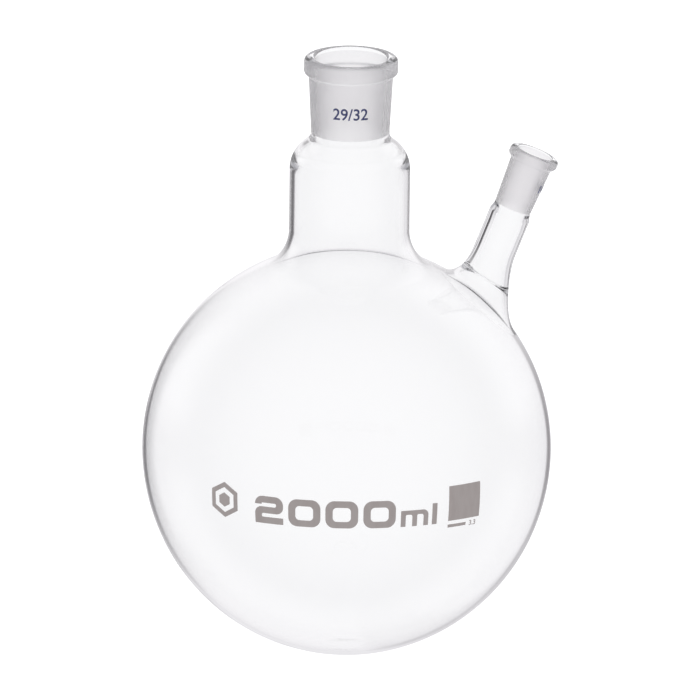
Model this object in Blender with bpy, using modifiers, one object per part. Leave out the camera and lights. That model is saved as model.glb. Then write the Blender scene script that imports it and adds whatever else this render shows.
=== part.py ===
"""Two-neck round-bottom flask, 2000 ml, in borosilicate glass.

Units are metres and +Z is up. The origin is the middle of the small flat under the
bulb. The wide centre neck stands on the Z axis, and the angled side neck leans from
the bulb towards +X, in the XZ plane.
"""

import math

import bmesh
import bpy
from mathutils import Matrix, Vector

# Bulb; it was blown hanging, so it is a little deeper than it is wide
BULB_RADIUS = 0.083
BULB_DEPTH = 0.0846
GLASS_WALL = 0.0016
BASE_FLAT_RADIUS = 0.008
BULB_RINGS = 22

# Centre neck; heights are above the bulb's centre
NECK_RADIUS = 0.0245
NECK_FILLET = 0.018
NECK_STRAIGHT_TOP = 0.1157
SHOULDER_RADIUS = 0.0185
SHOULDER_SWEEP = math.radians(58)
FILLET_SEGMENTS = 6
SHOULDER_SEGMENTS = 7

# Centre socket, taper joint 29/32
CENTRE_BORE_TOP_RADIUS = 0.0146
CENTRE_NECK_BELOW_BEAD_RADIUS = 0.0169
CENTRE_BEAD_RADIUS = 0.0187
CENTRE_BEAD_HEIGHT = 0.0082
CENTRE_BEAD_CHAMFER_HEIGHT = 0.0025
CENTRE_RIM_ABOVE_BULB = 0.1642
CENTRE_LIP_RADIUS = 0.0011
CENTRE_BORE_LIP = 0.0012

# Side neck; its rim's centre is given out from the Z axis and above the bulb's centre
SIDE_TILT = math.radians(21.6)
SIDE_RIM_OUT = 0.0761
SIDE_RIM_ABOVE_BULB = 0.1226
SIDE_TUBE_RADIUS = 0.0082
SIDE_FLARE_RADIUS = 0.0195
SIDE_FLARE_HEIGHT = 0.018
SIDE_FLARE_EDGE = 0.0003
SIDE_FLARE_MOUTH_RADIUS = 0.0151
SIDE_FLARE_SEGMENTS = 8
SIDE_NECKED_HEIGHT = 0.0035

# Side socket, taper joint 14/23
SIDE_BORE_TOP_RADIUS = 0.00725
SIDE_GROUND_LENGTH = 0.023
SIDE_NECK_BELOW_BEAD_RADIUS = 0.0083
SIDE_SOCKET_FOOT_RADIUS = 0.0074
SIDE_BEAD_RADIUS = 0.0099
SIDE_BEAD_HEIGHT = 0.0052
SIDE_BEAD_CHAMFER_HEIGHT = 0.0018
SIDE_LIP_RADIUS = 0.0009
SIDE_BORE_LIP = 0.0006

# Fired enamel square for pencil notes
PANEL_WIDTH = 0.0153
PANEL_HEIGHT = 0.0149
PANEL_THICKNESS = 0.0003
PANEL_LIFT = 0.0001
PANEL_AZIMUTH = math.radians(29)
PANEL_LATITUDE = math.radians(-2.8)
PANEL_CELLS = 6

# Taper of the standard ground joints, on the diameter
JOINT_TAPER = 0.1
LIP_SEGMENTS = 3
SEAL_GAP = 0.0003
MERGE_DISTANCE = 0.00001
WIDE_STEPS = 48
NARROW_STEPS = 32

# Values worked out from those above
BULB_STRETCH = BULB_DEPTH / BULB_RADIUS
BULB_CENTRE_Z = BULB_STRETCH * math.sqrt(BULB_RADIUS**2 - BASE_FLAT_RADIUS**2)
BULB_CENTRE = Vector((0, 0, BULB_CENTRE_Z))
FILLET_CENTRE_R = NECK_RADIUS + NECK_FILLET
FILLET_CENTRE_Z = BULB_CENTRE_Z + math.sqrt(
    (BULB_RADIUS + NECK_FILLET) ** 2 - FILLET_CENTRE_R**2
)
SHOULDER_CENTRE_R = NECK_RADIUS - SHOULDER_RADIUS
SHOULDER_CENTRE_Z = BULB_CENTRE_Z + NECK_STRAIGHT_TOP
CENTRE_SEAL_Z = SHOULDER_CENTRE_Z + SHOULDER_RADIUS * math.sin(SHOULDER_SWEEP)
CENTRE_SEAL_R = SHOULDER_CENTRE_R + SHOULDER_RADIUS * math.cos(SHOULDER_SWEEP)
CENTRE_RIM_Z = BULB_CENTRE_Z + CENTRE_RIM_ABOVE_BULB
SIDE_RIM_CENTRE = Vector((SIDE_RIM_OUT, 0, BULB_CENTRE_Z + SIDE_RIM_ABOVE_BULB))
SIDE_BORE_FOOT_RADIUS = SIDE_BORE_TOP_RADIUS - SIDE_GROUND_LENGTH * JOINT_TAPER / 2
SIDE_SEAL_DEPTH = SIDE_GROUND_LENGTH + SIDE_BORE_LIP


def clear_scene():
    """Removes every object, so that the flask stands alone."""
    for obj in list(bpy.data.objects):
        bpy.data.objects.remove(obj, do_unlink=True)


def new_collection(name):
    """A collection under the scene's own."""
    collection = bpy.data.collections.new(name)
    bpy.context.scene.collection.children.link(collection)
    return collection


def glass_material(name, colour, roughness):
    """Borosilicate glass, clear or ground."""
    material = bpy.data.materials.new(name)
    material.use_nodes = True
    shader = material.node_tree.nodes["Principled BSDF"]
    shader.inputs["Base Color"].default_value = (*colour, 1)
    shader.inputs["Roughness"].default_value = roughness
    shader.inputs["Metallic"].default_value = 0
    shader.inputs["IOR"].default_value = 1.47
    shader.inputs["Transmission Weight"].default_value = 1
    return material


def enamel_material(name, colour, roughness):
    """Opaque ceramic enamel, fired on the glass."""
    material = bpy.data.materials.new(name)
    material.use_nodes = True
    shader = material.node_tree.nodes["Principled BSDF"]
    shader.inputs["Base Color"].default_value = (*colour, 1)
    shader.inputs["Roughness"].default_value = roughness
    shader.inputs["Metallic"].default_value = 0
    return material


def arc(centre_r, centre_z, radius, start, end, segments):
    """Points (r, z) on an arc. Angles are counted from the +R direction towards +Z."""
    points = []
    for step in range(segments + 1):
        angle = start + (end - start) * step / segments
        points.append((centre_r + radius * math.cos(angle), centre_z + radius * math.sin(angle)))
    return points


def turned(name, profile, closed, steps, collection, material):
    """A solid turned about its own Z axis from a profile of (r, z) points."""
    mesh = bpy.data.meshes.new(name)
    shape = bmesh.new()
    corners = [shape.verts.new((r, 0, z)) for r, z in profile]
    for first, second in zip(corners, corners[1:]):
        shape.edges.new((first, second))
    if closed:
        shape.edges.new((corners[-1], corners[0]))
    shape.to_mesh(mesh)
    shape.free()
    obj = bpy.data.objects.new(name, mesh)
    collection.objects.link(obj)
    screw = obj.modifiers.new("turn", "SCREW")
    screw.axis = "Z"
    screw.angle = math.tau
    screw.steps = steps
    screw.render_steps = steps
    screw.use_merge_vertices = True
    screw.merge_threshold = MERGE_DISTANCE
    screw.use_smooth_shade = True
    mesh.materials.append(material)
    return obj


def applied(obj, collection):
    """The object with its modifiers made real, under the same name and place."""
    graph = bpy.context.evaluated_depsgraph_get()
    mesh = bpy.data.meshes.new_from_object(obj.evaluated_get(graph))
    name = obj.name
    bpy.data.objects.remove(obj, do_unlink=True)
    real = bpy.data.objects.new(name, mesh)
    collection.objects.link(real)
    return real


def hung(points):
    """Stretches the points below the bulb's centre down to the bulb's depth."""
    stretched = []
    for r, z in points:
        below = min(0.0, z - BULB_CENTRE_Z)
        stretched.append((r, z + below * (BULB_STRETCH - 1)))
    return stretched


def bulb_profile():
    """Half section of the bulb: up the inside from the pole, then down the outside."""
    seal_z = FILLET_CENTRE_Z + SEAL_GAP
    to_fillet = math.atan2(FILLET_CENTRE_Z - BULB_CENTRE_Z, FILLET_CENTRE_R)
    to_flat = -math.acos(BASE_FLAT_RADIUS / BULB_RADIUS)
    inside = arc(0, BULB_CENTRE_Z, BULB_RADIUS - GLASS_WALL, -math.pi / 2, to_fillet, BULB_RINGS)
    inside[0] = (0, inside[0][1])
    inner_fillet = arc(
        FILLET_CENTRE_R,
        FILLET_CENTRE_Z,
        NECK_FILLET + GLASS_WALL,
        to_fillet - math.pi,
        -math.pi,
        FILLET_SEGMENTS,
    )
    mouth = [(NECK_RADIUS - GLASS_WALL, seal_z), (NECK_RADIUS, seal_z)]
    outer_fillet = arc(
        FILLET_CENTRE_R,
        FILLET_CENTRE_Z,
        NECK_FILLET,
        -math.pi,
        to_fillet - math.pi,
        FILLET_SEGMENTS,
    )
    outside = hung(arc(0, BULB_CENTRE_Z, BULB_RADIUS, to_fillet, to_flat, BULB_RINGS))
    outside[-1] = (BASE_FLAT_RADIUS, 0)
    return hung(inside) + inner_fillet[1:] + mouth + outer_fillet + outside[1:] + [(0, 0)]


def side_hole_cutter(axis, cutters):
    """A rod along the side neck, which opens the bulb's wall under the neck's flare."""
    reach = BULB_RADIUS
    bpy.ops.mesh.primitive_cylinder_add(
        vertices=NARROW_STEPS, radius=SIDE_FLARE_MOUTH_RADIUS, depth=reach
    )
    rod = bpy.context.object
    rod.name = "side_hole_cutter"
    for owner in list(rod.users_collection):
        owner.objects.unlink(rod)
    cutters.objects.link(rod)
    rod.parent = axis
    rod.location = (0, 0, -(SIDE_SEAL_DEPTH + reach / 2))
    rod.hide_render = True
    rod.display_type = "WIRE"
    return rod


def build_bulb(collection, cutters, axis, material):
    """The blown bulb, with its neck stub, base flat and the hole under the side neck."""
    bulb = turned("bulb", bulb_profile(), False, WIDE_STEPS, collection, material)
    cut = bulb.modifiers.new("side_hole", "BOOLEAN")
    cut.operation = "DIFFERENCE"
    cut.solver = "EXACT"
    cut.object = side_hole_cutter(axis, cutters)
    return bulb


def build_centre_neck(collection, material):
    """The wide neck, with the rounded shoulder that the socket is sealed to."""
    foot_z = FILLET_CENTRE_Z + 2 * SEAL_GAP
    rise = CENTRE_SEAL_Z - SEAL_GAP - SHOULDER_CENTRE_Z
    inner_radius = SHOULDER_RADIUS - GLASS_WALL
    outside = arc(
        SHOULDER_CENTRE_R,
        SHOULDER_CENTRE_Z,
        SHOULDER_RADIUS,
        math.asin(rise / SHOULDER_RADIUS),
        0,
        SHOULDER_SEGMENTS,
    )
    inside = arc(
        SHOULDER_CENTRE_R,
        SHOULDER_CENTRE_Z,
        inner_radius,
        0,
        math.asin(rise / inner_radius),
        SHOULDER_SEGMENTS,
    )
    foot = [(NECK_RADIUS, foot_z), (NECK_RADIUS - GLASS_WALL, foot_z)]
    return turned("centre_neck", outside + foot + inside, True, WIDE_STEPS, collection, material)


def socket_profile(rim_z, bore, bead, neck_radius, foot):
    """Half section of a taper socket with a rolled bead.

    bore is (radius at the top, lip radius). bead is (radius, height, chamfer height, lip
    radius). foot is the outer radius and the z of the sealed end.
    """
    bore_radius, bore_lip = bore
    bead_radius, bead_height, chamfer_height, lip = bead
    foot_radius, foot_z = foot
    ground_z = rim_z - bore_lip
    bead_foot_z = rim_z - bead_height
    quarter = math.pi / 2
    outer_lip = arc(bead_radius - lip, rim_z - lip, lip, quarter, 0, LIP_SEGMENTS)
    inner_lip = arc(
        bore_radius + bore_lip, ground_z, bore_lip, 2 * quarter, quarter, LIP_SEGMENTS
    )
    outside = [
        (bead_radius, bead_foot_z + chamfer_height),
        ((bead_radius + neck_radius) / 2 + lip / 2, bead_foot_z + chamfer_height / 3),
        (neck_radius, bead_foot_z),
        (foot_radius, foot_z),
    ]
    bore_foot = (bore_radius - (ground_z - foot_z) * JOINT_TAPER / 2, foot_z)
    return outer_lip + outside + [bore_foot] + inner_lip


def build_centre_socket(collection, material):
    """The ground socket 29/32 on the centre neck."""
    bead = (
        CENTRE_BEAD_RADIUS,
        CENTRE_BEAD_HEIGHT,
        CENTRE_BEAD_CHAMFER_HEIGHT,
        CENTRE_LIP_RADIUS,
    )
    profile = socket_profile(
        CENTRE_RIM_Z,
        (CENTRE_BORE_TOP_RADIUS, CENTRE_BORE_LIP),
        bead,
        CENTRE_NECK_BELOW_BEAD_RADIUS,
        (CENTRE_SEAL_R, CENTRE_SEAL_Z),
    )
    return turned("centre_socket", profile, True, WIDE_STEPS, collection, material)


def side_axis():
    """An empty at the side rim's centre, with its Z axis along the side neck."""
    axis = bpy.data.objects.new("side_neck_axis", None)
    bpy.context.scene.collection.objects.link(axis)
    axis.location = SIDE_RIM_CENTRE
    axis.rotation_euler = (0, SIDE_TILT, 0)
    bpy.context.view_layer.update()
    return axis


def settle_on_bulb(mesh, axis, foot_z):
    """Slides the flare's points along the neck's axis until its edge lies on the bulb."""
    centre = axis.matrix_world.inverted() @ BULB_CENTRE
    seat = BULB_RADIUS + SEAL_GAP
    for corner in mesh.vertices:
        share = (foot_z + SIDE_FLARE_HEIGHT - corner.co.z) / SIDE_FLARE_HEIGHT
        share = max(0.0, min(1.0, share))
        across = (corner.co.x - centre.x) ** 2 + (corner.co.y - centre.y) ** 2
        surface_z = centre.z + math.sqrt(seat**2 - across)
        corner.co.z += share**2 * (3 - 2 * share) * (surface_z - foot_z)


def flare(tube_radius, mouth_radius, foot_z, height, edge):
    """Points down a quarter ellipse, from the tube to the flare's mouth."""
    points = []
    for step in range(SIDE_FLARE_SEGMENTS + 1):
        angle = math.pi / 2 * step / SIDE_FLARE_SEGMENTS
        radius = mouth_radius - (mouth_radius - tube_radius) * math.cos(angle)
        points.append((radius, foot_z + edge + (height - edge) * (1 - math.sin(angle))))
    return points


def build_side_neck(collection, axis, material):
    """The angled tube, with a flare that is sealed to the bulb."""
    to_centre = axis.matrix_world.inverted() @ BULB_CENTRE
    foot_z = to_centre.z + math.sqrt(BULB_RADIUS**2 - to_centre.x**2)
    top_z = -SIDE_SEAL_DEPTH - SEAL_GAP
    tube_top_z = top_z - SIDE_NECKED_HEIGHT
    bore = SIDE_TUBE_RADIUS - GLASS_WALL
    outside = flare(
        SIDE_TUBE_RADIUS, SIDE_FLARE_RADIUS, foot_z, SIDE_FLARE_HEIGHT, SIDE_FLARE_EDGE
    )
    inside = flare(bore, SIDE_FLARE_MOUTH_RADIUS, foot_z, SIDE_FLARE_HEIGHT - GLASS_WALL, 0)
    profile = [(SIDE_SOCKET_FOOT_RADIUS, top_z), (SIDE_TUBE_RADIUS, tube_top_z)]
    profile += outside
    profile.append((SIDE_FLARE_RADIUS, foot_z))
    profile += reversed(inside)
    profile += [(bore, tube_top_z), (SIDE_BORE_FOOT_RADIUS, top_z)]
    rough = turned("side_neck", profile, True, NARROW_STEPS, collection, material)
    side_neck = applied(rough, collection)
    settle_on_bulb(side_neck.data, axis, foot_z)
    side_neck.parent = axis
    return side_neck


def build_side_socket(collection, axis, material):
    """The ground socket 14/23 on the side neck."""
    bead = (SIDE_BEAD_RADIUS, SIDE_BEAD_HEIGHT, SIDE_BEAD_CHAMFER_HEIGHT, SIDE_LIP_RADIUS)
    profile = socket_profile(
        0,
        (SIDE_BORE_TOP_RADIUS, SIDE_BORE_LIP),
        bead,
        SIDE_NECK_BELOW_BEAD_RADIUS,
        (SIDE_SOCKET_FOOT_RADIUS, -SIDE_SEAL_DEPTH),
    )
    socket = turned("side_socket", profile, True, NARROW_STEPS, collection, material)
    socket.parent = axis
    return socket


def build_marking_panel(collection, material):
    """The enamel square, curved to the bulb's front."""
    bpy.ops.mesh.primitive_grid_add(
        x_subdivisions=PANEL_CELLS, y_subdivisions=PANEL_CELLS, size=1
    )
    panel = bpy.context.object
    panel.name = "marking_panel"
    for owner in list(panel.users_collection):
        owner.objects.unlink(panel)
    collection.objects.link(panel)
    underside = BULB_RADIUS + PANEL_LIFT
    for corner in panel.data.vertices:
        azimuth = PANEL_AZIMUTH + corner.co.x * PANEL_WIDTH / BULB_RADIUS
        latitude = PANEL_LATITUDE + corner.co.y * PANEL_HEIGHT / BULB_RADIUS
        outward = Vector((0, -math.cos(latitude), math.sin(latitude)))
        outward = Matrix.Rotation(azimuth, 3, "Z") @ outward
        corner.co = BULB_CENTRE + outward * underside
    coat = panel.modifiers.new("coat", "SOLIDIFY")
    coat.thickness = PANEL_THICKNESS
    coat.offset = 1
    panel.data.materials.append(material)
    panel.data.shade_smooth()
    return panel


def main():
    """Builds the flask."""
    clear_scene()
    parts = new_collection("two_neck_flask")
    cutters = new_collection("cutters")
    clear_glass = glass_material("clear_glass", (0.95, 0.96, 0.96), 0.02)
    ground_glass = glass_material("ground_glass", (0.88, 0.88, 0.88), 0.55)
    enamel = enamel_material("grey_enamel", (0.34, 0.30, 0.29), 0.5)
    axis = side_axis()
    build_bulb(parts, cutters, axis, clear_glass)
    build_centre_neck(parts, clear_glass)
    build_centre_socket(parts, ground_glass)
    build_side_neck(parts, axis, clear_glass)
    build_side_socket(parts, axis, ground_glass)
    build_marking_panel(parts, enamel)


main()
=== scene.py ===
"""Visual model of a two-neck round-bottom flask, 2000 ml, in its studio.

Lengths are in metres and +Z is up. The origin is the middle of the small flat under
the bulb. The wide centre neck stands on the Z axis, and the side neck leans to +X.
"""

import logging
import math
from dataclasses import dataclass
from enum import Enum
from typing import Callable

import bmesh
import bpy
from mathutils import Matrix, Vector
from mathutils.kdtree import KDTree

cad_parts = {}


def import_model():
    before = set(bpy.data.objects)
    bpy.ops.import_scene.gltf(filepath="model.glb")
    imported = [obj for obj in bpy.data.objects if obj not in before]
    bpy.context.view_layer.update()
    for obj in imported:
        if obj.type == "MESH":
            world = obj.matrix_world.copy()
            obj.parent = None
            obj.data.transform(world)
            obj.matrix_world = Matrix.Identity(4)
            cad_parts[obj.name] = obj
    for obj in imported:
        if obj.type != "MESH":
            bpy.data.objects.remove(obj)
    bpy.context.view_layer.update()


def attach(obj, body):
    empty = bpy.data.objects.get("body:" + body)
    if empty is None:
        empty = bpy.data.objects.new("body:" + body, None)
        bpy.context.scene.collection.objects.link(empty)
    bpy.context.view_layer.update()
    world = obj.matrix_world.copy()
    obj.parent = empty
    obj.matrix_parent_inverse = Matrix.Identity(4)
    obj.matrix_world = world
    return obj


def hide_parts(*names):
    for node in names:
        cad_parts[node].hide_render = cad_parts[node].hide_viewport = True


LOG = logging.getLogger("flask")
ROOT = "root"
MM = 0.001
FRONT = math.radians(-6.6)

Point = tuple[float, float]
Corner = tuple[float, float, float]
Colour = tuple[float, float, float]
Shape = bmesh.types.BMesh
Piece = bpy.types.Object
Material = bpy.types.Material
Socket = bpy.types.NodeSocket
Inputs = dict[str | int, object]
Term = "Value | float"


# ---- shader maths


class Value:
    """A node socket that carries a number, with the usual operators."""

    def __init__(self, graph: "Graph", socket: Socket) -> None:
        """Keeps the graph and its output socket."""
        self.graph = graph
        self.socket = socket

    def _math(self, operation: str, *terms: Term) -> "Value":
        """Adds a Math node.

        Args:
            operation: The Math node's operation.
            terms: Its inputs, in order.

        Returns:
            The node's result.
        """
        inputs = {index: term for index, term in enumerate(terms)}
        node = self.graph.node("ShaderNodeMath", {"operation": operation}, inputs)
        return Value(self.graph, node.outputs[0])

    def __add__(self, other: Term) -> "Value":
        """self + other."""
        return self._math("ADD", self, other)

    __radd__ = __add__

    def __sub__(self, other: Term) -> "Value":
        """self - other."""
        return self._math("SUBTRACT", self, other)

    def __rsub__(self, other: float) -> "Value":
        """other - self."""
        return self._math("SUBTRACT", other, self)

    def __mul__(self, other: Term) -> "Value":
        """self * other."""
        return self._math("MULTIPLY", self, other)

    __rmul__ = __mul__

    def __truediv__(self, other: Term) -> "Value":
        """self / other."""
        return self._math("DIVIDE", self, other)

    def __gt__(self, other: Term) -> "Value":
        """1 where self is greater than other, else 0."""
        return self._math("GREATER_THAN", self, other)

    def __lt__(self, other: Term) -> "Value":
        """1 where self is less than other, else 0."""
        return self._math("LESS_THAN", self, other)

    def ramp(self, low: float, high: float) -> "Value":
        """Rises smoothly from 0 to 1.

        Args:
            low: Where the rise starts.
            high: Where it ends.

        Returns:
            The smooth step.
        """
        settings = {"interpolation_type": "SMOOTHSTEP"}
        inputs = {"Value": self, "From Min": low, "From Max": high}
        node = self.graph.node("ShaderNodeMapRange", settings, inputs)
        return Value(self.graph, node.outputs["Result"])


class Graph:
    """A node tree that is being filled."""

    def __init__(self, tree: bpy.types.NodeTree) -> None:
        """Takes a material's or world's node tree and empties it."""
        self.tree = tree
        tree.nodes.clear()

    def node(
        self, kind: str, settings: Inputs | None = None, inputs: Inputs | None = None
    ) -> bpy.types.Node:
        """Adds a node.

        Args:
            kind: The node's type name.
            settings: Attributes that are set first.
            inputs: Values or links for its sockets.

        Returns:
            The new node.
        """
        made = self.tree.nodes.new(kind)
        for name, value in (settings or {}).items():
            setattr(made, name, value)
        for name, value in (inputs or {}).items():
            if isinstance(value, Value):
                value = value.socket
            if isinstance(value, Socket):
                self.tree.links.new(value, made.inputs[name])
            else:
                made.inputs[name].default_value = value
        return made

    def along(self, vector: Socket, axis: Vector) -> Value:
        """The part of a vector that lies along an axis of length 1."""
        node = self.node("ShaderNodeVectorMath", {"operation": "DOT_PRODUCT"}, {0: vector, 1: axis})
        return Value(self, node.outputs["Value"])

    def mix(self, share: Value | float, low: object, high: object) -> Socket:
        """Mixes two colours, or their sockets: share 0 gives low and 1 gives high."""
        node = self.node("ShaderNodeMix", {"data_type": "RGBA"}, {0: share, 6: low, 7: high})
        return node.outputs[2]

    def noise(self, scale: float, detail: float = 2.0, stretch: Colour = (1, 1, 1)) -> Value:
        """Noise fixed to the piece.

        Args:
            scale: Waves per metre.
            detail: Octaves.
            stretch: Scale along X, Y and Z.

        Returns:
            The noise, about 0.5 on average.
        """
        place = self.node("ShaderNodeTexCoord").outputs["Object"]
        mapped = self.node("ShaderNodeMapping", None, {"Vector": place, "Scale": stretch})
        inputs = {"Vector": mapped.outputs[0], "Scale": scale, "Detail": detail}
        return Value(self, self.node("ShaderNodeTexNoise", None, inputs).outputs[0])

    def bump(self, height: Value, depth: float) -> Socket:
        """The normal of a height from 0 to 1, where 1 stands for depth."""
        return self.node("ShaderNodeBump", None, {"Height": height, "Distance": depth}).outputs[0]


# ---- finishes


def blank_material(name: str) -> tuple[Material, Graph]:
    """A material with an empty node tree.

    Args:
        name: The material's name.

    Returns:
        The material and its graph.
    """
    material = bpy.data.materials.new(name)
    material.use_nodes = True
    return material, Graph(material.node_tree)


def principled(graph: Graph, inputs: Inputs) -> None:
    """Adds the surface shader, with values or links for its sockets, and the output."""
    shader = graph.node("ShaderNodeBsdfPrincipled", None, inputs)
    graph.node("ShaderNodeOutputMaterial", None, {"Surface": shader.outputs[0]})


@dataclass(frozen=True)
class ClearGlass:
    """Flame-polished borosilicate glass, with faint draw waves and wipe marks."""

    name: str = "clear_glass"
    ior: float = 1.473
    film: float = 0.012
    wave: float = 0.00006

    def material(self) -> Material:
        """Makes the material."""
        material, graph = blank_material(self.name)
        wipe = graph.noise(38, 4, (1, 1, 0.35)).ramp(0.62, 0.8)
        waves = graph.noise(34, 1, (1, 1, 0.4))
        inputs = {
            "Base Color": (1, 1, 1, 1),
            "Roughness": wipe * self.film,
            "IOR": self.ior,
            "Transmission Weight": 1.0,
            "Normal": graph.bump(waves, self.wave),
        }
        principled(graph, inputs)
        return material


@dataclass(frozen=True)
class GroundGlass:
    """The matt inner cone of a taper socket, ground with fine grit, with painted shade darkening it
    towards its top.
    """

    name: str = "ground_glass"
    ior: float = 1.473
    roughness: float = 0.44
    grain: float = 0.00002
    low_tint: Colour = (0.885, 0.865, 0.88)
    # The darker colour and its heights below are painted shade towards the bead, not a tint of the
    # glass.
    painted_shade_tint: Colour = (0.85, 0.835, 0.85)
    painted_shade_heights: Point = (0.205, 0.24)

    def material(self) -> Material:
        """Makes the material."""
        material, graph = blank_material(self.name)
        cloud = graph.noise(260, 3, (1, 1, 0.5))
        place = graph.node("ShaderNodeTexCoord").outputs["Object"]
        # Painted shade: the cone's colour darkens from its own tint as it rises towards the bead.
        painted_shade_share = graph.along(place, Vector((0, 0, 1))).ramp(*self.painted_shade_heights)
        tint_and_painted_shade = graph.mix(painted_shade_share, (*self.low_tint, 1), (*self.painted_shade_tint, 1))
        grit = graph.noise(5200, 2)
        inputs = {
            "Base Color": tint_and_painted_shade,
            "Roughness": cloud * 0.16 + self.roughness,
            "IOR": self.ior,
            "Transmission Weight": 1.0,
            "Normal": graph.bump(grit, self.grain),
        }
        principled(graph, inputs)
        return material


@dataclass(frozen=True)
class FusedSeam:
    """The face where two glass pieces are melted into one, which can't be seen."""

    name: str = "fused_seam"

    def material(self) -> Material:
        """Makes the material."""
        material, graph = blank_material(self.name)
        principled(graph, {"Base Color": (1, 1, 1, 1), "Roughness": 0.0, "Alpha": 0.0})
        return material


@dataclass(frozen=True)
class Enamel:
    """Fired ceramic print, slightly uneven from the screen."""

    name: str
    thin: Colour
    dense: Colour
    roughness: float = 0.5
    grain: float = 0.00001

    def material(self) -> Material:
        """Makes the material."""
        material, graph = blank_material(self.name)
        mottle = graph.noise(420, 3, (1, 1, 0.25)).ramp(0.35, 0.7)
        grain = graph.noise(9000, 2)
        colour = graph.mix(mottle, (*self.thin, 1), (*self.dense, 1))
        inputs = {
            "Base Color": colour,
            "Roughness": grain * 0.15 + self.roughness,
            "Normal": graph.bump(grain, self.grain),
        }
        principled(graph, inputs)
        return material


@dataclass(frozen=True)
class FloorPaint:
    """The studio's white floor."""

    name: str = "white_floor"
    shade: float = 0.92
    glow: float = 0.35

    def material(self) -> Material:
        """Makes the material."""
        material, graph = blank_material(self.name)
        tooth = graph.noise(60, 2)
        inputs = {
            "Base Color": (self.shade, self.shade, self.shade, 1),
            "Roughness": tooth * 0.1 + 0.8,
            "Emission Color": (1, 1, 1, 1),
            "Emission Strength": self.glow,
        }
        principled(graph, inputs)
        return material


# ---- geometry


class Slot(Enum):
    """Which of a glass piece's materials a face takes."""

    CLEAR = 0
    SEAM = 1
    GROUND = 2


def rounded(corners: list[Corner], closed: bool, step: float = 3.0) -> list[Point]:
    """Rounds the corners of an outline.

    Args:
        corners: Each corner's two coordinates and its radius.
        closed: True where the last corner joins the first.
        step: The largest turn between points, in degrees.

    Returns:
        The outline's points.
    """
    points: list[Point] = []
    count = len(corners)
    for index, (x, y, radius) in enumerate(corners):
        here = Vector((x, y))
        at_end = not closed and index in (0, count - 1)
        if radius == 0 or at_end:
            points.append((x, y))
            continue
        back = (Vector(corners[index - 1][:2]) - here).normalized()
        on = (Vector(corners[(index + 1) % count][:2]) - here).normalized()
        half = back.angle(on) / 2
        centre = here + (back + on).normalized() * (radius / math.sin(half))
        arm = here + back * (radius / math.tan(half)) - centre
        turn = math.copysign(math.pi - 2 * half, -(back.x * on.y - back.y * on.x))
        pieces = max(2, math.ceil(abs(math.degrees(turn)) / step))
        for piece in range(pieces + 1):
            angle = turn * piece / pieces
            cosine, sine = math.cos(angle), math.sin(angle)
            spoke = (arm.x * cosine - arm.y * sine, arm.x * sine + arm.y * cosine)
            points.append((centre.x + spoke[0], centre.y + spoke[1]))
    return points


def arc(centre: Point, radii: Point, start: float, end: float, pieces: int) -> list[Point]:
    """Points on part of an ellipse.

    Args:
        centre: The centre's two coordinates.
        radii: The half widths along the two coordinates.
        start: The first angle, in radians.
        end: The last angle.
        pieces: How many steps there are between them.

    Returns:
        The points, from start to end.
    """
    angles = [start + (end - start) * piece / pieces for piece in range(pieces + 1)]
    return [
        (centre[0] + radii[0] * math.cos(angle), centre[1] + radii[1] * math.sin(angle))
        for angle in angles
    ]


def spun(profile: list[Point], steps: int, closed: bool = True) -> Shape:
    """Spins a half section about the Z axis.

    Args:
        profile: The section's points, as radius and height.
        steps: How many steps the turn has.
        closed: True where the section is a loop clear of the axis.

    Returns:
        The closed shape, with its faces outwards.
    """
    shape = bmesh.new()
    corners = [shape.verts.new((radius, 0, height)) for radius, height in profile]
    for first, second in zip(corners, corners[1:]):
        shape.edges.new((first, second))
    if closed:
        shape.edges.new((corners[-1], corners[0]))
    turn = {"cent": (0, 0, 0), "axis": (0, 0, 1), "angle": math.tau, "steps": steps}
    bmesh.ops.spin(shape, geom=shape.verts[:] + shape.edges[:], use_merge=True, **turn)
    bmesh.ops.remove_doubles(shape, verts=shape.verts, dist=1e-7)
    bmesh.ops.recalc_face_normals(shape, faces=shape.faces)
    return shape


def paint(shape: Shape, slot: Slot, test: Callable[[Vector], bool]) -> None:
    """Gives a material to every face whose corners all pass a test.

    Args:
        shape: The shape.
        slot: The material.
        test: Takes a corner's place.
    """
    for face in shape.faces:
        if all(test(corner.co) for corner in face.verts):
            face.material_index = slot.value


def linked(name: str, data: bpy.types.ID) -> Piece:
    """A new object in the scene that carries some data.

    Args:
        name: The object's name.
        data: Its mesh, curve or camera.

    Returns:
        The object.
    """
    made = bpy.data.objects.new(name, data)
    bpy.context.scene.collection.objects.link(made)
    return made


def piece_from(
    shape: Shape,
    name: str,
    materials: list[Material],
    place: Matrix | None = None,
    sharp: float = 40.0,
) -> Piece:
    """Makes a finished piece from a shape.

    Args:
        shape: The shape, which is freed.
        name: The piece's name.
        materials: Its materials, in slot order.
        place: Where the shape goes.
        sharp: The angle from which an edge stays sharp, in degrees.

    Returns:
        The piece, with its object at the origin.
    """
    mesh = bpy.data.meshes.new(name)
    if place is not None:
        bmesh.ops.transform(shape, matrix=place, verts=shape.verts)
    for face in shape.faces:
        face.smooth = True
    shape.to_mesh(mesh)
    shape.free()
    mesh.set_sharp_from_angle(angle=math.radians(sharp))
    for material in materials:
        mesh.materials.append(material)
    return linked(name, mesh)


def settle(piece: Piece, slot: str, *nodes: str) -> Piece:
    """Puts a piece on the root body and hides the CAD nodes that it replaces.

    Args:
        piece: The piece.
        slot: Not used.
        nodes: The CAD nodes that it replaces.

    Returns:
        The piece.
    """
    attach(piece, ROOT)
    if nodes:
        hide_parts(*nodes)
    LOG.info("%s: %d faces", piece.name, len(piece.data.polygons))
    return piece


@dataclass(frozen=True)
class GlassSet:
    """The materials that every glass piece shares, in slot order."""

    clear: Material
    seam: Material
    ground: Material

    def slots(self) -> list[Material]:
        """The materials in the order of Slot."""
        return [self.clear, self.seam, self.ground]


# ---- the flask


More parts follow.
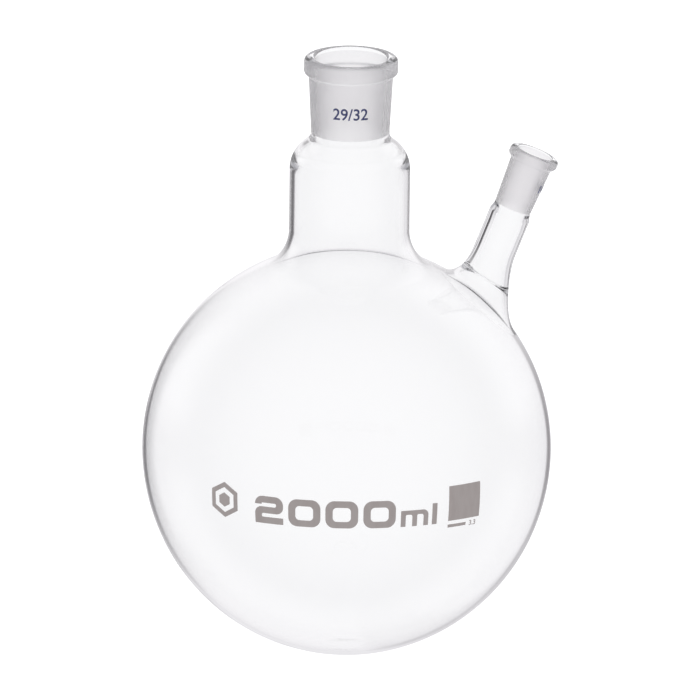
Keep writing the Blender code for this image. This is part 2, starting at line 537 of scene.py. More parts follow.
@dataclass(frozen=True)
class Sizes:
    """Sizes that several pieces share."""

    radius: float = 83 * MM
    depth: float = 84.6 * MM
    wall: float = 1.6 * MM
    flat: float = 8 * MM
    neck: float = 24.5 * MM
    neck_bore: float = 22.3 * MM
    fillet: float = 18 * MM
    seam_rise: float = 0.4 * MM
    joint_taper: float = 0.05
    steps: int = 192
    seam_gap: float = 0.004 * MM

    @property
    def inner(self) -> float:
        """The bulb's inner radius."""
        return self.radius - self.wall

    @property
    def stretch(self) -> float:
        """How much the lower half is drawn out."""
        return self.depth / self.radius

    @property
    def centre_z(self) -> float:
        """The height of the bulb's centre."""
        return self.stretch * math.sqrt(self.radius**2 - self.flat**2)

    @property
    def centre(self) -> Vector:
        """The bulb's centre."""
        return Vector((0, 0, self.centre_z))

    def fillet_centre(self) -> Point:
        """The centre of the fillet between bulb and wide neck, as radius and height."""
        out = self.neck + self.fillet
        return out, self.centre_z + math.sqrt((self.radius + self.fillet) ** 2 - out**2)

    @property
    def neck_seam_z(self) -> float:
        """The height at which the wide neck is melted to the bulb's stub."""
        return self.fillet_centre()[1] + self.seam_rise


@dataclass(frozen=True)
class SideFrame:
    """Where the side neck stands."""

    sizes: Sizes
    tilt: float = math.radians(21.6)
    rim_out: float = 75.8 * MM
    rim_rise: float = 122.6 * MM
    seam_radius: float = 19 * MM
    foot_shift: float = 1.6 * MM

    @property
    def place(self) -> Matrix:
        """From the side neck's own frame, whose origin is the rim's centre, to the flask's."""
        rim = Vector((self.rim_out, 0, self.sizes.centre_z + self.rim_rise))
        return Matrix.Translation(rim) @ Matrix.Rotation(self.tilt, 4, "Y")

    @property
    def centre(self) -> Vector:
        """The bulb's centre in the side neck's frame."""
        return self.place.inverted() @ self.sizes.centre

    def surface(self, radius: float, x: float, y: float) -> float:
        """The height of a bulb surface in the side neck's frame.

        Args:
            radius: The surface's radius.
            x: The point's X.
            y: The point's Y.

        Returns:
            The Z of the surface over that point.
        """
        centre = self.centre
        across = (x - centre.x) ** 2 + (y - centre.y) ** 2
        return centre.z + math.sqrt(radius**2 - across)


@dataclass
class Bulb:
    """The blown bulb with its fillet, its base flat and the hole for the side neck."""

    sizes: Sizes
    side: SideFrame
    rings: int = 100
    fillet_rings: int = 48
    hole_margin: float = 8 * MM
    rod_length: float = 40 * MM
    wall_facing: float = 0.7

    def profile(self) -> list[Point]:
        """The half section, from the inner pole round the stub to the outer pole.

        Returns:
            The section's points.
        """
        sizes = self.sizes
        centre_z = sizes.centre_z
        inner = self.side_of_wall(sizes.inner, sizes.neck_bore)
        inner = [(0, centre_z - sizes.inner * sizes.stretch)] + inner[1:]
        outer = self.side_of_wall(sizes.radius, sizes.neck)
        outer = [point for point in outer if point[0] > sizes.flat or point[1] > centre_z]
        outer = [(0, 0), (sizes.flat, 0)] + outer
        return inner + outer[::-1]

    def side_of_wall(self, bulb: float, neck: float) -> list[Point]:
        """One side of the wall, from the lower pole up to the seam.

        Args:
            bulb: The bulb's radius on this side.
            neck: The neck's radius on this side.

        Returns:
            The points.
        """
        sizes = self.sizes
        middle = sizes.fillet_centre()
        rise = math.atan2(middle[1] - sizes.centre_z, middle[0])
        points = arc((0, sizes.centre_z), (bulb, bulb), -math.pi / 2, rise, self.rings)
        hung = []
        for radius, height in points:
            below = min(0.0, height - sizes.centre_z)
            hung.append((radius, height + below * (sizes.stretch - 1)))
        low = sizes.fillet + sizes.radius - bulb
        high = sizes.fillet + sizes.neck - neck
        bend = []
        for ring in range(1, self.fillet_rings + 1):
            share = ring / self.fillet_rings
            angle = rise - math.pi - rise * share
            reach = low + (high - low) * share * share * (3 - 2 * share)
            bend.append((middle[0] + reach * math.cos(angle), middle[1] + reach * math.sin(angle)))
        return hung + bend + [(neck, sizes.neck_seam_z)]

    def build(self, glass: GlassSet) -> Piece:
        """Makes the bulb.

        Args:
            glass: The glass materials.

        Returns:
            The piece.
        """
        sizes = self.sizes
        shape = spun(self.profile(), sizes.steps, False)
        seam_z = sizes.neck_seam_z
        paint(shape, Slot.SEAM, lambda c: c.z > seam_z - 1e-6)
        whole = piece_from(shape, "whole_bulb", glass.slots())
        cutter = self.hole_cutter(glass)
        cut = whole.modifiers.new("side_hole", "BOOLEAN")
        cut.operation = "DIFFERENCE"
        cut.solver = "EXACT"
        cut.object = cutter
        graph = bpy.context.evaluated_depsgraph_get()
        mesh = bpy.data.meshes.new_from_object(whole.evaluated_get(graph))
        for spare in (whole, cutter):
            bpy.data.objects.remove(spare, do_unlink=True)
        mesh.name = "bulb_glass"
        piece = linked("bulb_glass", mesh)
        self.true_up(mesh)
        return settle(piece, "clear_glass", "bulb")

    def hole_cutter(self, glass: GlassSet) -> Piece:
        """Makes the rod that cuts the hole for the side neck.

        Args:
            glass: The glass materials.

        Returns:
            The rod.
        """
        rod = bmesh.new()
        edge = self.side.seam_radius
        round_rod = {"segments": self.sizes.steps, "radius1": edge, "radius2": edge}
        bmesh.ops.create_cone(rod, cap_ends=True, depth=self.rod_length, **round_rod)
        foot = self.side.surface(self.sizes.radius, 0, 0)
        bmesh.ops.translate(rod, verts=rod.verts, vec=(self.side.foot_shift, 0, foot))
        for face in rod.faces:
            face.material_index = Slot.SEAM.value
        return piece_from(rod, "hole_cutter", glass.slots(), self.side.place)

    def true_up(self, mesh: bpy.types.Mesh) -> None:
        """Gives the wall round the hole the bulb's own normals, and the hole its seam.

        Args:
            mesh: The cut bulb.
        """
        sizes = self.sizes
        centre = sizes.centre
        to_side = self.side.place.inverted()
        edge = self.side.seam_radius
        near = edge + self.hole_margin
        mesh.set_sharp_from_angle(angle=math.radians(40))
        normals = [Vector((0, 0, 0))] * len(mesh.loops)
        for face in mesh.polygons:
            local = to_side @ face.center
            across = math.hypot(local.x - self.side.foot_shift, local.y)
            if across > near or face.center.z < sizes.centre_z + sizes.radius / 3:
                continue
            out = (face.center - centre).normalized()
            facing = face.normal.dot(out)
            if abs(facing) < self.wall_facing and abs(across - edge) < 0.3 * MM:
                face.material_index = Slot.SEAM.value
                continue
            for loop in face.loop_indices:
                corner = mesh.vertices[mesh.loops[loop].vertex_index].co - centre
                reach = corner.length
                off_wall = min(abs(reach - sizes.radius), abs(reach - sizes.inner))
                if off_wall < 0.02 * MM:
                    normals[loop] = corner.normalized() * math.copysign(1, facing)
        mesh.normals_split_custom_set(normals)


@dataclass
class CentreNeck:
    """The wide neck with its rounded shoulder and the foot of the socket."""

    sizes: Sizes
    shoulder: Point = (123.9 * MM, 14 * MM)
    inner_shoulder: Point = (123.0 * MM, 5 * MM)
    throat: Point = (16.05 * MM, 130.5 * MM)
    inner_throat_rise: float = 130.8 * MM
    throat_fillet: float = 4 * MM
    socket_top: float = 162.8 * MM
    seam_rise: float = 133.4 * MM
    bore_top: float = 14.6 * MM
    ground_end: float = 130.9 * MM
    rim_rise: float = 164.2 * MM

    def bore(self, rise: float) -> float:
        """The ground bore's radius at a height above the bulb's centre."""
        return self.bore_top - (self.socket_top - rise) * self.sizes.joint_taper

    def outline(self, neck: float, shoulder: Point, throat: Point) -> list[Corner]:
        """One side of the wall, from the seam up to the throat, as rounded corners."""
        foot = self.sizes.neck_seam_z + self.sizes.seam_gap - self.sizes.centre_z
        return [(neck, foot, 0.0), (neck, *shoulder), (*throat, self.throat_fillet)]

    def build(self, glass: GlassSet) -> Piece:
        """Makes the neck.

        Args:
            glass: The glass materials.

        Returns:
            The piece.
        """
        sizes = self.sizes
        outer = self.outline(sizes.neck, self.shoulder, self.throat)
        outer.append((self.throat[0] - 0.1 * MM, self.seam_rise, 0.0))
        inner_throat = (self.bore(self.inner_throat_rise), self.inner_throat_rise)
        inner = self.outline(sizes.neck_bore, self.inner_shoulder, inner_throat)
        inner.append((self.bore(self.seam_rise), self.seam_rise, 0.0))
        points = rounded(outer, False, 2.5) + rounded(inner, False, 2.5)[::-1]
        profile = [(radius, rise + sizes.centre_z) for radius, rise in points]
        shape = spun(profile, sizes.steps)
        top = self.seam_rise + sizes.centre_z
        foot = profile[0][1]
        ground_z = sizes.centre_z + self.ground_end
        ground = self.bore(self.seam_rise) + 0.01 * MM
        paint(shape, Slot.GROUND, lambda c: c.z > ground_z and c.xy.length < ground)
        paint(shape, Slot.SEAM, lambda c: c.z > top - 1e-6 or c.z < foot + 1e-6)
        piece = piece_from(shape, "centre_neck_glass", glass.slots())
        return settle(piece, "clear_glass", "centre_neck")


@dataclass
class TaperSocket:
    """A ground taper socket with a rolled bead, in its own frame with the rim at 0."""

    name: str
    node: str
    place: Matrix
    steps: int
    bore_top: float
    bore_lip: float
    bead: float
    bead_height: float
    bead_round: float
    lip: float
    below_bead: float
    under_bead: float
    foot: Point
    taper: float

    def outside(self, low: float) -> float:
        """The cone's outer radius at a height below the rim, which is negative."""
        return self.below_bead + (low + self.bead_height) * self.taper

    def build(self, glass: GlassSet) -> Piece:
        """Makes the socket.

        Args:
            glass: The glass materials.

        Returns:
            The piece.
        """
        foot_radius, foot_z = self.foot
        bore_foot = self.bore_top + (foot_z + self.bore_lip) * self.taper
        corners = [
            (bore_foot, foot_z, 0.0),
            (self.bore_top + self.bore_lip * self.taper, 0.0, self.bore_lip),
            (self.bead, 0.0, self.lip),
            (self.bead, self.bead_round - self.bead_height, self.bead_round),
            (self.below_bead, -self.bead_height, self.under_bead),
            (foot_radius, foot_z, 0.0),
        ]
        shape = spun(rounded(corners, True), self.steps)
        bore_edge = self.bore_top + 0.03 * MM
        ground_z = -self.bore_lip / 2
        paint(shape, Slot.GROUND, lambda c: c.xy.length < bore_edge and c.z < ground_z)
        paint(shape, Slot.SEAM, lambda c: c.z < foot_z + 1e-6)
        piece = piece_from(shape, self.name, glass.slots(), self.place)
        return settle(piece, "ground_glass", self.node)


@dataclass
class SideNeck:
    """The angled tube, flared where it meets the bulb, with a fine weld ring."""

    sizes: Sizes
    side: SideFrame
    tube: float = 8.5 * MM
    wall: float = 2.6 * MM
    flare_height: float = 20 * MM
    bore_shift: float = 0.5 * MM
    weld_z: float = -56.3 * MM
    weld_slope: Point = (0.216, 0.15)
    weld_width: float = 0.4 * MM
    weld_depth: float = 0.42 * MM
    weld_lump: float = 1.8
    seam_z: float = -24.6 * MM
    throat: float = 7.65 * MM
    throat_bore: float = 6.1 * MM
    necking: float = 3.4 * MM
    steps: int = 144
    flare_steps: int = 170

    def profile(self) -> tuple[list[Point], list[Point]]:
        """The outer and inner sides of the section, from the socket down to the seam.

        Returns:
            Both sides, with heights over a bulb that is taken as flat.
        """
        neck_z = self.seam_z - self.necking
        outer = [
            (self.throat, self.seam_z, 0.0),
            (self.throat - 0.02 * MM, self.seam_z - 0.5 * MM, 1.2 * MM),
            (self.tube, neck_z, 3 * MM),
        ]
        inner = [
            (self.throat_bore, self.seam_z, 0.0),
            (self.throat_bore - 0.05 * MM, self.seam_z - 1.0 * MM, 1.2 * MM),
            (self.tube - self.wall, neck_z - 0.4 * MM, 3 * MM),
        ]
        return self.flare(outer, self.sizes.radius), self.flare(inner, self.sizes.inner)

    def flare(self, corners: list[Corner], bulb: float) -> list[Point]:
        """One side of the wall, which ends in a quarter ellipse down to the bulb.

        Args:
            corners: Its corners, from the socket down to the tube.
            bulb: The radius of the bulb's surface on this side.

        Returns:
            The points.
        """
        tube = corners[-1][0]
        points = rounded([*corners, (tube, corners[-1][1] - 4 * MM, 0.0)], False)
        edge = self.side.seam_radius - self.sizes.seam_gap
        top = self.side.surface(self.sizes.radius, 0, 0) + self.flare_height
        foot = self.side.surface(bulb, 0, 0)
        radii = (edge - tube, top - foot)
        return points + arc((edge, top), radii, math.pi, 1.5 * math.pi, self.flare_steps)

    def build(self, glass: GlassSet) -> Piece:
        """Makes the side neck.

        Args:
            glass: The glass materials.

        Returns:
            The piece.
        """
        outer, inner = self.profile()
        shape = spun(outer + inner[::-1], self.steps)
        edge = outer[-1][0] - 1e-6
        top = self.seam_z - 1e-6
        paint(shape, Slot.SEAM, lambda c: c.z > top or c.xy.length > edge)
        sides = KDTree(len(outer) + len(inner))
        for index, (radius, height) in enumerate(outer + inner):
            sides.insert((radius, height, 0), index)
        sides.balance()
        for corner in shape.verts:
            outside = sides.find((corner.co.xy.length, corner.co.z, 0))[1] < len(outer)
            radius = self.sizes.radius if outside else self.sizes.inner
            level = self.side.surface(radius, 0, 0)
            share = (level + self.flare_height - corner.co.z) / self.flare_height
            share = max(0.0, min(1.0, share))
            share = share**2 * (3 - 2 * share)
            corner.co.x += share * self.side.foot_shift
            corner.co.z += share * (self.side.surface(radius, *corner.co.xy) - level)
            if not outside:
                deep = (self.seam_z - corner.co.z) / (2 * self.necking)
                corner.co.x += self.bore_shift * max(0.0, min(1.0, deep)) * (1 - share)
                self.weld(corner)
        piece = piece_from(shape, "side_neck_glass", glass.slots(), self.side.place)
        return settle(piece, "clear_glass", "side_neck")

    def weld(self, corner: bmesh.types.BMVert) -> None:
        """Raises the weld's slanting ring inside the tube.

        Args:
            corner: A vertex of the inner side.
        """
        along, across = self.weld_slope
        level = self.weld_z - along * corner.co.x - across * corner.co.y
        reach = corner.co.xy.length
        lump = 1 + self.weld_lump * (corner.co.x / reach) ** 6
        near = (corner.co.z - level) / (self.weld_width * lump)
        inward = self.weld_depth * lump * math.exp(-near * near)
        corner.co.xy = corner.co.xy * (1 - inward / reach)


# ---- the print


class Glyph(Enum):
    """Shapes of the print, as outlines with rounded corners, in millimetres."""

    TWO = (
        (0, 0, 0.3), (12.3, 0, 0.3), (12.3, 2.75, 0.3), (3.0, 2.75, 0.5), (3.0, 4.3, 0.7),
        (12.3, 4.3, 2.9), (12.3, 11.4, 3.5), (0, 11.4, 3.3), (0, 8.0, 0.2),
        (3.0, 8.0, 0.2), (3.0, 8.65, 0.25), (9.3, 8.65, 0.75), (9.3, 7.05, 0.75),
        (0, 7.05, 2.9),
    )
    ZERO = ((0, 0, 3.7), (13.4, 0, 3.7), (13.4, 11.4, 3.7), (0, 11.4, 3.7))
    ZERO_HOLE = ((3.0, 2.75, 1.7), (10.4, 2.75, 1.7), (10.4, 8.65, 1.7), (3.0, 8.65, 1.7))
    SMALL_M = (
        (0, 0, 0.15), (0, 6.8, 0.3), (11.9, 6.8, 2.3), (11.9, 0, 0.15), (9.8, 0, 0.15),
        (9.8, 5.0, 0.9), (7.0, 5.0, 0.5), (7.0, 0, 0.15), (4.9, 0, 0.15), (4.9, 5.0, 0.9),
        (2.1, 5.0, 0.5), (2.1, 0, 0.15),
    )
    SMALL_L = ((0, 0, 0.15), (2.2, 0, 0.15), (2.2, 8.9, 0.15), (0, 8.9, 0.15))
    SQUARE = ((0, 0, 0.15), (15.4, 0, 0.15), (15.4, 14.6, 0.15), (0, 14.6, 0.15))


def flat_curve(outlines: list[list[Point]]) -> Shape:
    """Fills outlines that may have holes.

    Args:
        outlines: Closed outlines; one inside another is a hole.

    Returns:
        The filled flat shape.
    """
    curve = bpy.data.curves.new("outline", "CURVE")
    curve.dimensions = "2D"
    curve.fill_mode = "BOTH"
    for outline in outlines:
        spline = curve.splines.new("POLY")
        spline.points.add(len(outline) - 1)
        for point, (x, y) in zip(spline.points, outline):
            point.co = (x, y, 0, 1)
        spline.use_cyclic_u = True
    return mesh_of(curve)


def flat_text(words: str, height: float, bold: float) -> Shape:
    """Fills a line of numerals, centred on the origin.

    Args:
        words: The numerals.
        height: The height of a numeral.
        bold: How far the outline is moved outwards, as a share of the height.

    Returns:
        The filled flat shape.
    """
    curve = bpy.data.curves.new("numerals", "FONT")
    curve.body = words
    curve.offset = bold
    shape = mesh_of(curve)
    lows = [min(corner.co[axis] for corner in shape.verts) for axis in (0, 1)]
    highs = [max(corner.co[axis] for corner in shape.verts) for axis in (0, 1)]
    middle = Vector(((lows[0] + highs[0]) / 2, (lows[1] + highs[1]) / 2, 0))
    bmesh.ops.translate(shape, verts=shape.verts, vec=-middle)
    size = height / (highs[1] - lows[1])
    bmesh.ops.scale(shape, verts=shape.verts, vec=(size, size, size))
    return shape


def mesh_of(curve: bpy.types.Curve) -> Shape:
    """Turns a flat curve into a mesh.

    Args:
        curve: The curve, which is removed.

    Returns:
        Its filled shape.
    """
    carrier = linked("carrier", curve)
    graph = bpy.context.evaluated_depsgraph_get()
    mesh = bpy.data.meshes.new_from_object(carrier.evaluated_get(graph))
    shape = bmesh.new()
    shape.from_mesh(mesh)
    bpy.data.objects.remove(carrier, do_unlink=True)
    bpy.data.meshes.remove(mesh)
    bpy.data.curves.remove(curve)
    bmesh.ops.remove_doubles(shape, verts=shape.verts, dist=1e-7)
    return shape


def gridded(shape: Shape, pitch: float) -> None:
    """Cuts a flat shape on a grid, so that it can be wrapped closely.

    Args:
        shape: The flat shape.
        pitch: The distance between cuts.
    """
    for axis in (0, 1):
        low = min(corner.co[axis] for corner in shape.verts)
        high = max(corner.co[axis] for corner in shape.verts)
        normal = [0.0, 0.0, 0.0]
        normal[axis] = 1.0
        for cut in range(1, math.ceil((high - low) / pitch)):
            place = [0.0, 0.0, 0.0]
            place[axis] = low + cut * pitch
            geometry = shape.verts[:] + shape.edges[:] + shape.faces[:]
            plane = {"plane_co": place, "plane_no": normal}
            bmesh.ops.bisect_plane(shape, geom=geometry, dist=1e-7, **plane)


def coated(shape: Shape, thickness: float) -> None:
    """Gives a flat shape a thickness towards +Z.

    Args:
        shape: The flat shape.
        thickness: Its thickness.
    """
    bmesh.ops.recalc_face_normals(shape, faces=shape.faces)
    raised = bmesh.ops.extrude_face_region(shape, geom=shape.faces[:], use_keep_orig=True)
    corners = [item for item in raised["geom"] if isinstance(item, bmesh.types.BMVert)]
    bmesh.ops.translate(shape, verts=corners, vec=(0, 0, thickness))
    bmesh.ops.recalc_face_normals(shape, faces=shape.faces)


Wrap = Callable[[Vector], Vector]


@dataclass
class Print:
    """One enamel mark, wrapped on a surface."""

    name: str
    shape: Shape
    wrap: Wrap
    pitch: float = 1.5 * MM
    thickness: float = 0.05 * MM
    nodes: tuple[str, ...] = ()

    def build(self, enamel: Material) -> None:
        """Makes the mark.

        Args:
            enamel: Its material.
        """
        gridded(self.shape, self.pitch)
        coated(self.shape, self.thickness)
        for corner in self.shape.verts:
            corner.co = self.wrap(corner.co)
        bmesh.ops.recalc_face_normals(self.shape, faces=self.shape.faces)
        piece = piece_from(self.shape, self.name, [enamel])
        settle(piece, "grey_enamel", *self.nodes)


@dataclass
class BulbPrint:
    """The grey marks on the bulb's front."""

    sizes: Sizes
    baseline: float = math.radians(-8.0)
    lift: float = 0.02 * MM
    square: Point = (30.3, 0.55 * MM)
    bar_long: float = 8.8 * MM
    bar_rises: Point = (-2.3 * MM, -1.0 * MM)
    figures_high: float = 2.2 * MM
    figures_gap: float = 3.4 * MM
    hexagon: Point = (-36.5, 7.2 * MM)

    def wrap(self, point: Vector) -> Vector:
        """Wraps the print's plane on the bulb.

        Args:
            point: A point of the plane, with its height off the glass as Z.

        Returns:
            Its place on the flask.
        """
        radius = self.sizes.radius + self.lift + point.z
        around = FRONT + point.x / self.sizes.radius
        up = self.baseline + point.y / self.sizes.radius
        rise = radius * math.sin(up)
        rise *= self.sizes.stretch if rise < 0 else 1.0
        out = radius * math.cos(up)
        return self.sizes.centre + Vector((out * math.sin(around), -out * math.cos(around), rise))

    def glyph(self, left: float, low: float, *glyphs: Glyph) -> Shape:
        """A glyph at a place in the print's plane.

        Args:
            left: The glyph's left edge, in degrees from the print's middle.
            low: Its lower edge, in metres above the baseline.
            glyphs: The glyph and its hole.

        Returns:
            The flat shape.
        """
        offset = math.radians(left) * self.sizes.radius
        outlines = []
        for glyph in glyphs:
            points = rounded([tuple(c * MM for c in corner) for corner in glyph.value], True, 8)
            outlines.append([(x + offset, y + low) for x, y in points])
        return flat_curve(outlines)

    def hexagonal(self, *radii: float) -> Shape:
        """A plain hexagonal mark beside the numerals.

        Args:
            radii: Its outer radius and, where it is a ring, its inner radius.

        Returns:
            The flat shape.
        """
        centre = (math.radians(self.hexagon[0]) * self.sizes.radius, self.hexagon[1])
        start = math.pi / 2
        return flat_curve(
            [arc(centre, (r, r), start, start + math.tau, 6)[:-1] for r in radii]
        )

    def build(self, enamel: Material) -> None:
        """Makes every mark on the bulb.

        Args:
            enamel: Their material.
        """
        hole = (Glyph.ZERO, Glyph.ZERO_HOLE)
        marks = {
            "print_two": self.glyph(-26.4, 0, Glyph.TWO),
            "print_zero_left": self.glyph(-16.4, 0, *hole),
            "print_zero_middle": self.glyph(-5.75, 0, *hole),
            "print_zero_right": self.glyph(4.95, 0, *hole),
            "print_m": self.glyph(15.7, 0, Glyph.SMALL_M),
            "print_l": self.glyph(25.1, 0, Glyph.SMALL_L),
            "print_hexagon_ring": self.hexagonal(7.4 * MM, 5.2 * MM),
            "print_hexagon_core": self.hexagonal(3.0 * MM),
        }
        for name, shape in marks.items():
            Print(name, shape, self.wrap).build(enamel)
        start = math.radians(self.square[0]) * self.sizes.radius
        low, high = self.bar_rises
        end = start + self.bar_long
        bar = flat_curve([[(start, low), (end, low), (end, high), (start, high)]])
        Print("print_bar", bar, self.wrap).build(enamel)
        figures = flat_text("3.3", self.figures_high, 0.02)
        place = (end + self.figures_gap, (low + high) / 2, 0)
        bmesh.ops.translate(figures, verts=figures.verts, vec=place)
        Print("print_figures", figures, self.wrap).build(enamel)
        square = self.glyph(*self.square, Glyph.SQUARE)
        Print("marking_square", square, self.wrap, nodes=("marking_panel",)).build(enamel)


@dataclass
class SocketPrint:
    """The dark blue size on a socket."""

    name: str
    words: str
    place: Matrix
    facing: float
    depth: float
    height: float
    radius: Callable[[float], float]
    bold: float = 0.013
    narrow: float = 0.955
    lift: float = 0.02 * MM

    def wrap(self, point: Vector) -> Vector:
        """Wraps the print's plane on the socket's cone.

        Args:
            point: A point of the plane, with its height off the glass as Z.

        Returns:
            Its place on the flask.
        """
        low = point.y - self.depth
        radius = self.radius(low)
        around = self.facing + point.x / radius
        out = radius + self.lift + point.z
        return self.place @ Vector((out * math.cos(around), out * math.sin(around), low))

    def build(self, enamel: Material) -> None:
        """Makes the size mark.

        Args:
            enamel: Its material.
        """
        shape = flat_text(self.words, self.height, self.bold)
        bmesh.ops.scale(shape, verts=shape.verts, vec=(self.narrow, 1, 1))
        Print(self.name, shape, self.wrap, pitch=0.7 * MM).build(enamel)


# ---- the studio


@dataclass(frozen=True)
class Band:
    """A band of directions with soft edges, as sideways parts of the direction."""

    start: Point
    end: Point

    def share(self, sideways: Value) -> Value:
        """1 inside the band and 0 outside it."""
        return sideways.ramp(*self.start) * (1 - sideways.ramp(*self.end))


class Tone(Enum):
    """The tent's colours."""

    BESIDE = (0.31, 0.31, 0.34, 1)
    AHEAD = (0.82, 0.81, 0.835, 1)
    BEHIND = (0.48, 0.48, 0.50, 1)
    ABOVE = (0.98, 0.97, 0.99, 1)
    LEFT_FLAG = (0.03, 0.025, 0.03, 1)
    RIGHT_FLAG = (0.2, 0.185, 0.2, 1)
    OUTER_FLAG = (0.12, 0.11, 0.12, 1)
    THROUGH_GLASS = (1.035, 1.035, 1.045, 1)
    BACKDROP = (1.0, 1.0, 1.0, 1)


@dataclass(frozen=True)
class Tent:
    """A white light tent, with dark flags that only reflections inside glass see."""

    left: Band = Band((0.15, 0.22), (0.5, 0.7))
    right: Band = Band((0.02, 0.09), (0.28, 0.42))
    outer: Band = Band((0.1, 0.16), (0.3, 0.42))
    left_rise: Point = (0.1, 1.6)
    left_fall: Point = (0.0, 1.2)
    right_fade: Point = (0.05, 0.55)
    inside: Point = (0.5, 3.5)

    def build(self, right: Vector, up: Vector, back: Vector) -> None:
        """Makes the world.

        Args:
            right: The right of the main view.
            up: Its up direction.
            back: The direction from the flask to the viewer.
        """
        world = bpy.data.worlds.new("tent")
        bpy.context.scene.world = world
        world.use_nodes = True
        world.cycles.sampling_method = "NONE"
        graph = Graph(world.node_tree)
        ray = graph.node("ShaderNodeTexCoord").outputs["Generated"]
        path = graph.node("ShaderNodeLightPath").outputs
        side = graph.along(ray, right)
        lift = graph.along(ray, up)
        ahead = graph.along(ray, -back)
        front = ahead > 0.0
        outward = side * (((side > 0.0) * 2) - 1)
        slant = lift / (outward + 0.02)
        rising = slant.ramp(*self.left_rise)
        left_level = (1 - rising * 0.8) * (1 - (slant * -1).ramp(*self.left_fall))
        fading = slant.ramp(*self.right_fade) + (slant * -1).ramp(*self.right_fade)
        depth = Value(graph, path["Transmission Depth"])
        inside = (depth > self.inside[0]) * (depth < self.inside[1]) * front
        outside = (depth < self.inside[0]) * front
        outer = self.outer.share(outward) * outside * (1 - rising) * left_level
        layers = (
            ((ahead * -1).ramp(0.0, 0.9), Tone.BEHIND),
            (lift.ramp(0.02, 0.25) * ahead.ramp(0.0, 0.6), Tone.ABOVE),
            (self.left.share(side * -1) * left_level * inside, Tone.LEFT_FLAG),
            (self.right.share(side) * (1 - fading * 0.5) * inside, Tone.RIGHT_FLAG),
            (outer * 0.5, Tone.OUTER_FLAG),
        )
        shade = graph.mix(ahead.ramp(-0.1, 0.95), Tone.BESIDE.value, Tone.AHEAD.value)
        for share, tone in layers:
            shade = graph.mix(share, shade, tone.value)
        bounced = Value(graph, path["Glossy Depth"]) > 0.5
        light = graph.mix(bounced, Tone.THROUGH_GLASS.value, shade)
        seen = Value(graph, path["Is Camera Ray"])
        light = graph.mix(seen, light, Tone.BACKDROP.value)
        sky = graph.node("ShaderNodeBackground", None, {"Color": light, "Strength": 1.0})
        graph.node("ShaderNodeOutputWorld", None, {"Surface": sky.outputs[0]})


@dataclass
class Studio:
    """The white floor, the light tent and the camera."""

    sizes: Sizes
    elevation: float = math.radians(15.3)
    roll: float = math.radians(0.67)
    distance: float = 3.0
    view_width: float = 284.091 * MM
    bulb_left: float = -1.38 * MM
    bulb_low: float = -39.367 * MM
    floor_radius: float = 12.0

    def axes(self) -> tuple[Vector, Vector, Vector]:
        """The camera's right, up and back directions."""
        a, e = FRONT, self.elevation
        back = Vector((math.sin(a) * math.cos(e), -math.cos(a) * math.cos(e), math.sin(e)))
        level = Vector((math.cos(a), math.sin(a), 0))
        upright = back.cross(level)
        right = level * math.cos(self.roll) + upright * math.sin(self.roll)
        return right, back.cross(right), back

    def camera(self) -> None:
        """Makes the camera."""
        right, up, back = self.axes()
        data = bpy.data.cameras.new("camera")
        data.type = "ORTHO"
        data.ortho_scale = self.view_width
        data.clip_end = 100
        camera = linked("camera", data)
        aim = self.sizes.centre - right * self.bulb_left - up * self.bulb_low
        turn = Matrix((right, up, back)).transposed().to_4x4()
        camera.matrix_world = Matrix.Translation(aim + back * self.distance) @ turn
        bpy.context.scene.camera = camera

    def floor(self) -> None:
        """Makes the floor, which only the camera sees."""
        shape = bmesh.new()
        bmesh.ops.create_circle(shape, cap_ends=True, segments=96, radius=self.floor_radius)
        floor = piece_from(shape, "floor", [FloorPaint().material()])
        for ray in ("diffuse", "glossy", "transmission", "shadow", "volume_scatter"):
            setattr(floor, f"visible_{ray}", False)

    def build(self) -> None:
        """Makes the studio."""
        scene = bpy.context.scene
        scene.view_settings.view_transform = "Standard"
        scene.cycles.max_bounces = 48
        scene.cycles.transmission_bounces = 48
        scene.cycles.glossy_bounces = 32
        scene.cycles.transparent_max_bounces = 48
        self.camera()
        self.floor()
        Tent().build(*self.axes())


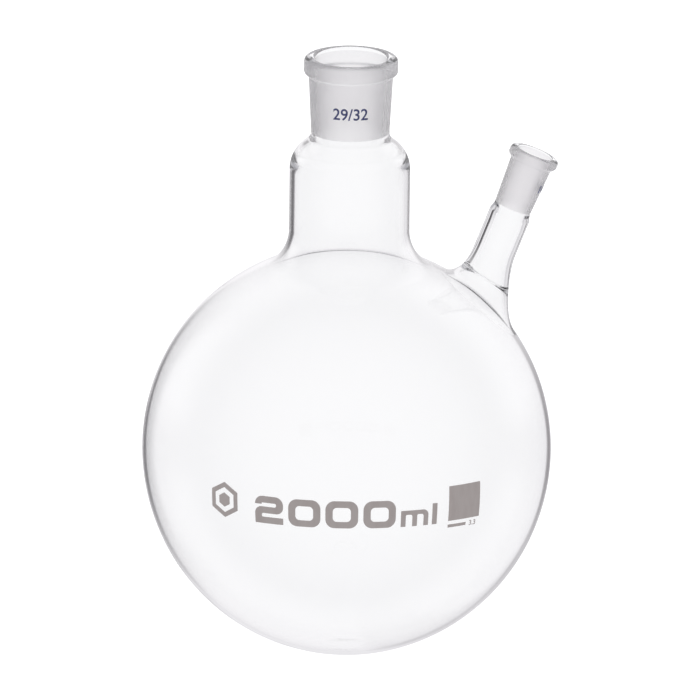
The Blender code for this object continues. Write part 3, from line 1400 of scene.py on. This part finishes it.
def main() -> None:
    """Builds the flask and its studio."""
    logging.basicConfig(level=logging.INFO, format="%(name)s: %(message)s")
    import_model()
    sizes = Sizes()
    side = SideFrame(sizes)
    Studio(sizes).build()
    glass = GlassSet(ClearGlass().material(), FusedSeam().material(), GroundGlass().material())
    glassware = [Bulb(sizes, side).build(glass)]
    centre = CentreNeck(sizes)
    glassware.append(centre.build(glass))
    rim = Matrix.Translation((0, 0, sizes.centre_z + centre.rim_rise))
    wide = TaperSocket(
        name="centre_socket_glass",
        node="centre_socket",
        place=rim,
        steps=sizes.steps,
        bore_top=14.6 * MM,
        bore_lip=1.4 * MM,
        bead=19.1 * MM,
        bead_height=7.9 * MM,
        bead_round=1.5 * MM,
        lip=1.8 * MM,
        below_bead=17.15 * MM,
        under_bead=0.8 * MM,
        foot=(15.95 * MM, centre.seam_rise - centre.rim_rise + sizes.seam_gap),
        taper=sizes.joint_taper,
    )
    glassware.append(wide.build(glass))
    neck = SideNeck(sizes, side)
    glassware.append(neck.build(glass))
    narrow = TaperSocket(
        name="side_socket_glass",
        node="side_socket",
        place=side.place,
        steps=neck.steps,
        bore_top=7.25 * MM,
        bore_lip=0.8 * MM,
        bead=10.3 * MM,
        bead_height=5.1 * MM,
        bead_round=1.5 * MM,
        lip=1.7 * MM,
        below_bead=8.6 * MM,
        under_bead=0.6 * MM,
        foot=(neck.throat, neck.seam_z + sizes.seam_gap),
        taper=sizes.joint_taper,
    )
    glassware.append(narrow.build(glass))
    for piece in glassware:
        piece.visible_diffuse = False
        piece.visible_shadow = False
    grey = Enamel("grey_enamel", (0.342, 0.308, 0.30), (0.32, 0.285, 0.277)).material()
    navy = Enamel("navy_enamel", (0.045, 0.055, 0.16), (0.03, 0.038, 0.12)).material()
    BulbPrint(sizes).build(grey)
    SocketPrint(
        name="print_wide_size",
        words="29/32",
        place=rim,
        facing=FRONT - math.pi / 2,
        depth=20.0 * MM,
        height=4.95 * MM,
        radius=wide.outside,
    ).build(navy)
    SocketPrint(
        name="print_narrow_size",
        words="14/23",
        place=side.place,
        facing=math.radians(-7),
        depth=12.9 * MM,
        height=3.6 * MM,
        radius=narrow.outside,
    ).build(navy)


if __name__ == "__main__":
    main()
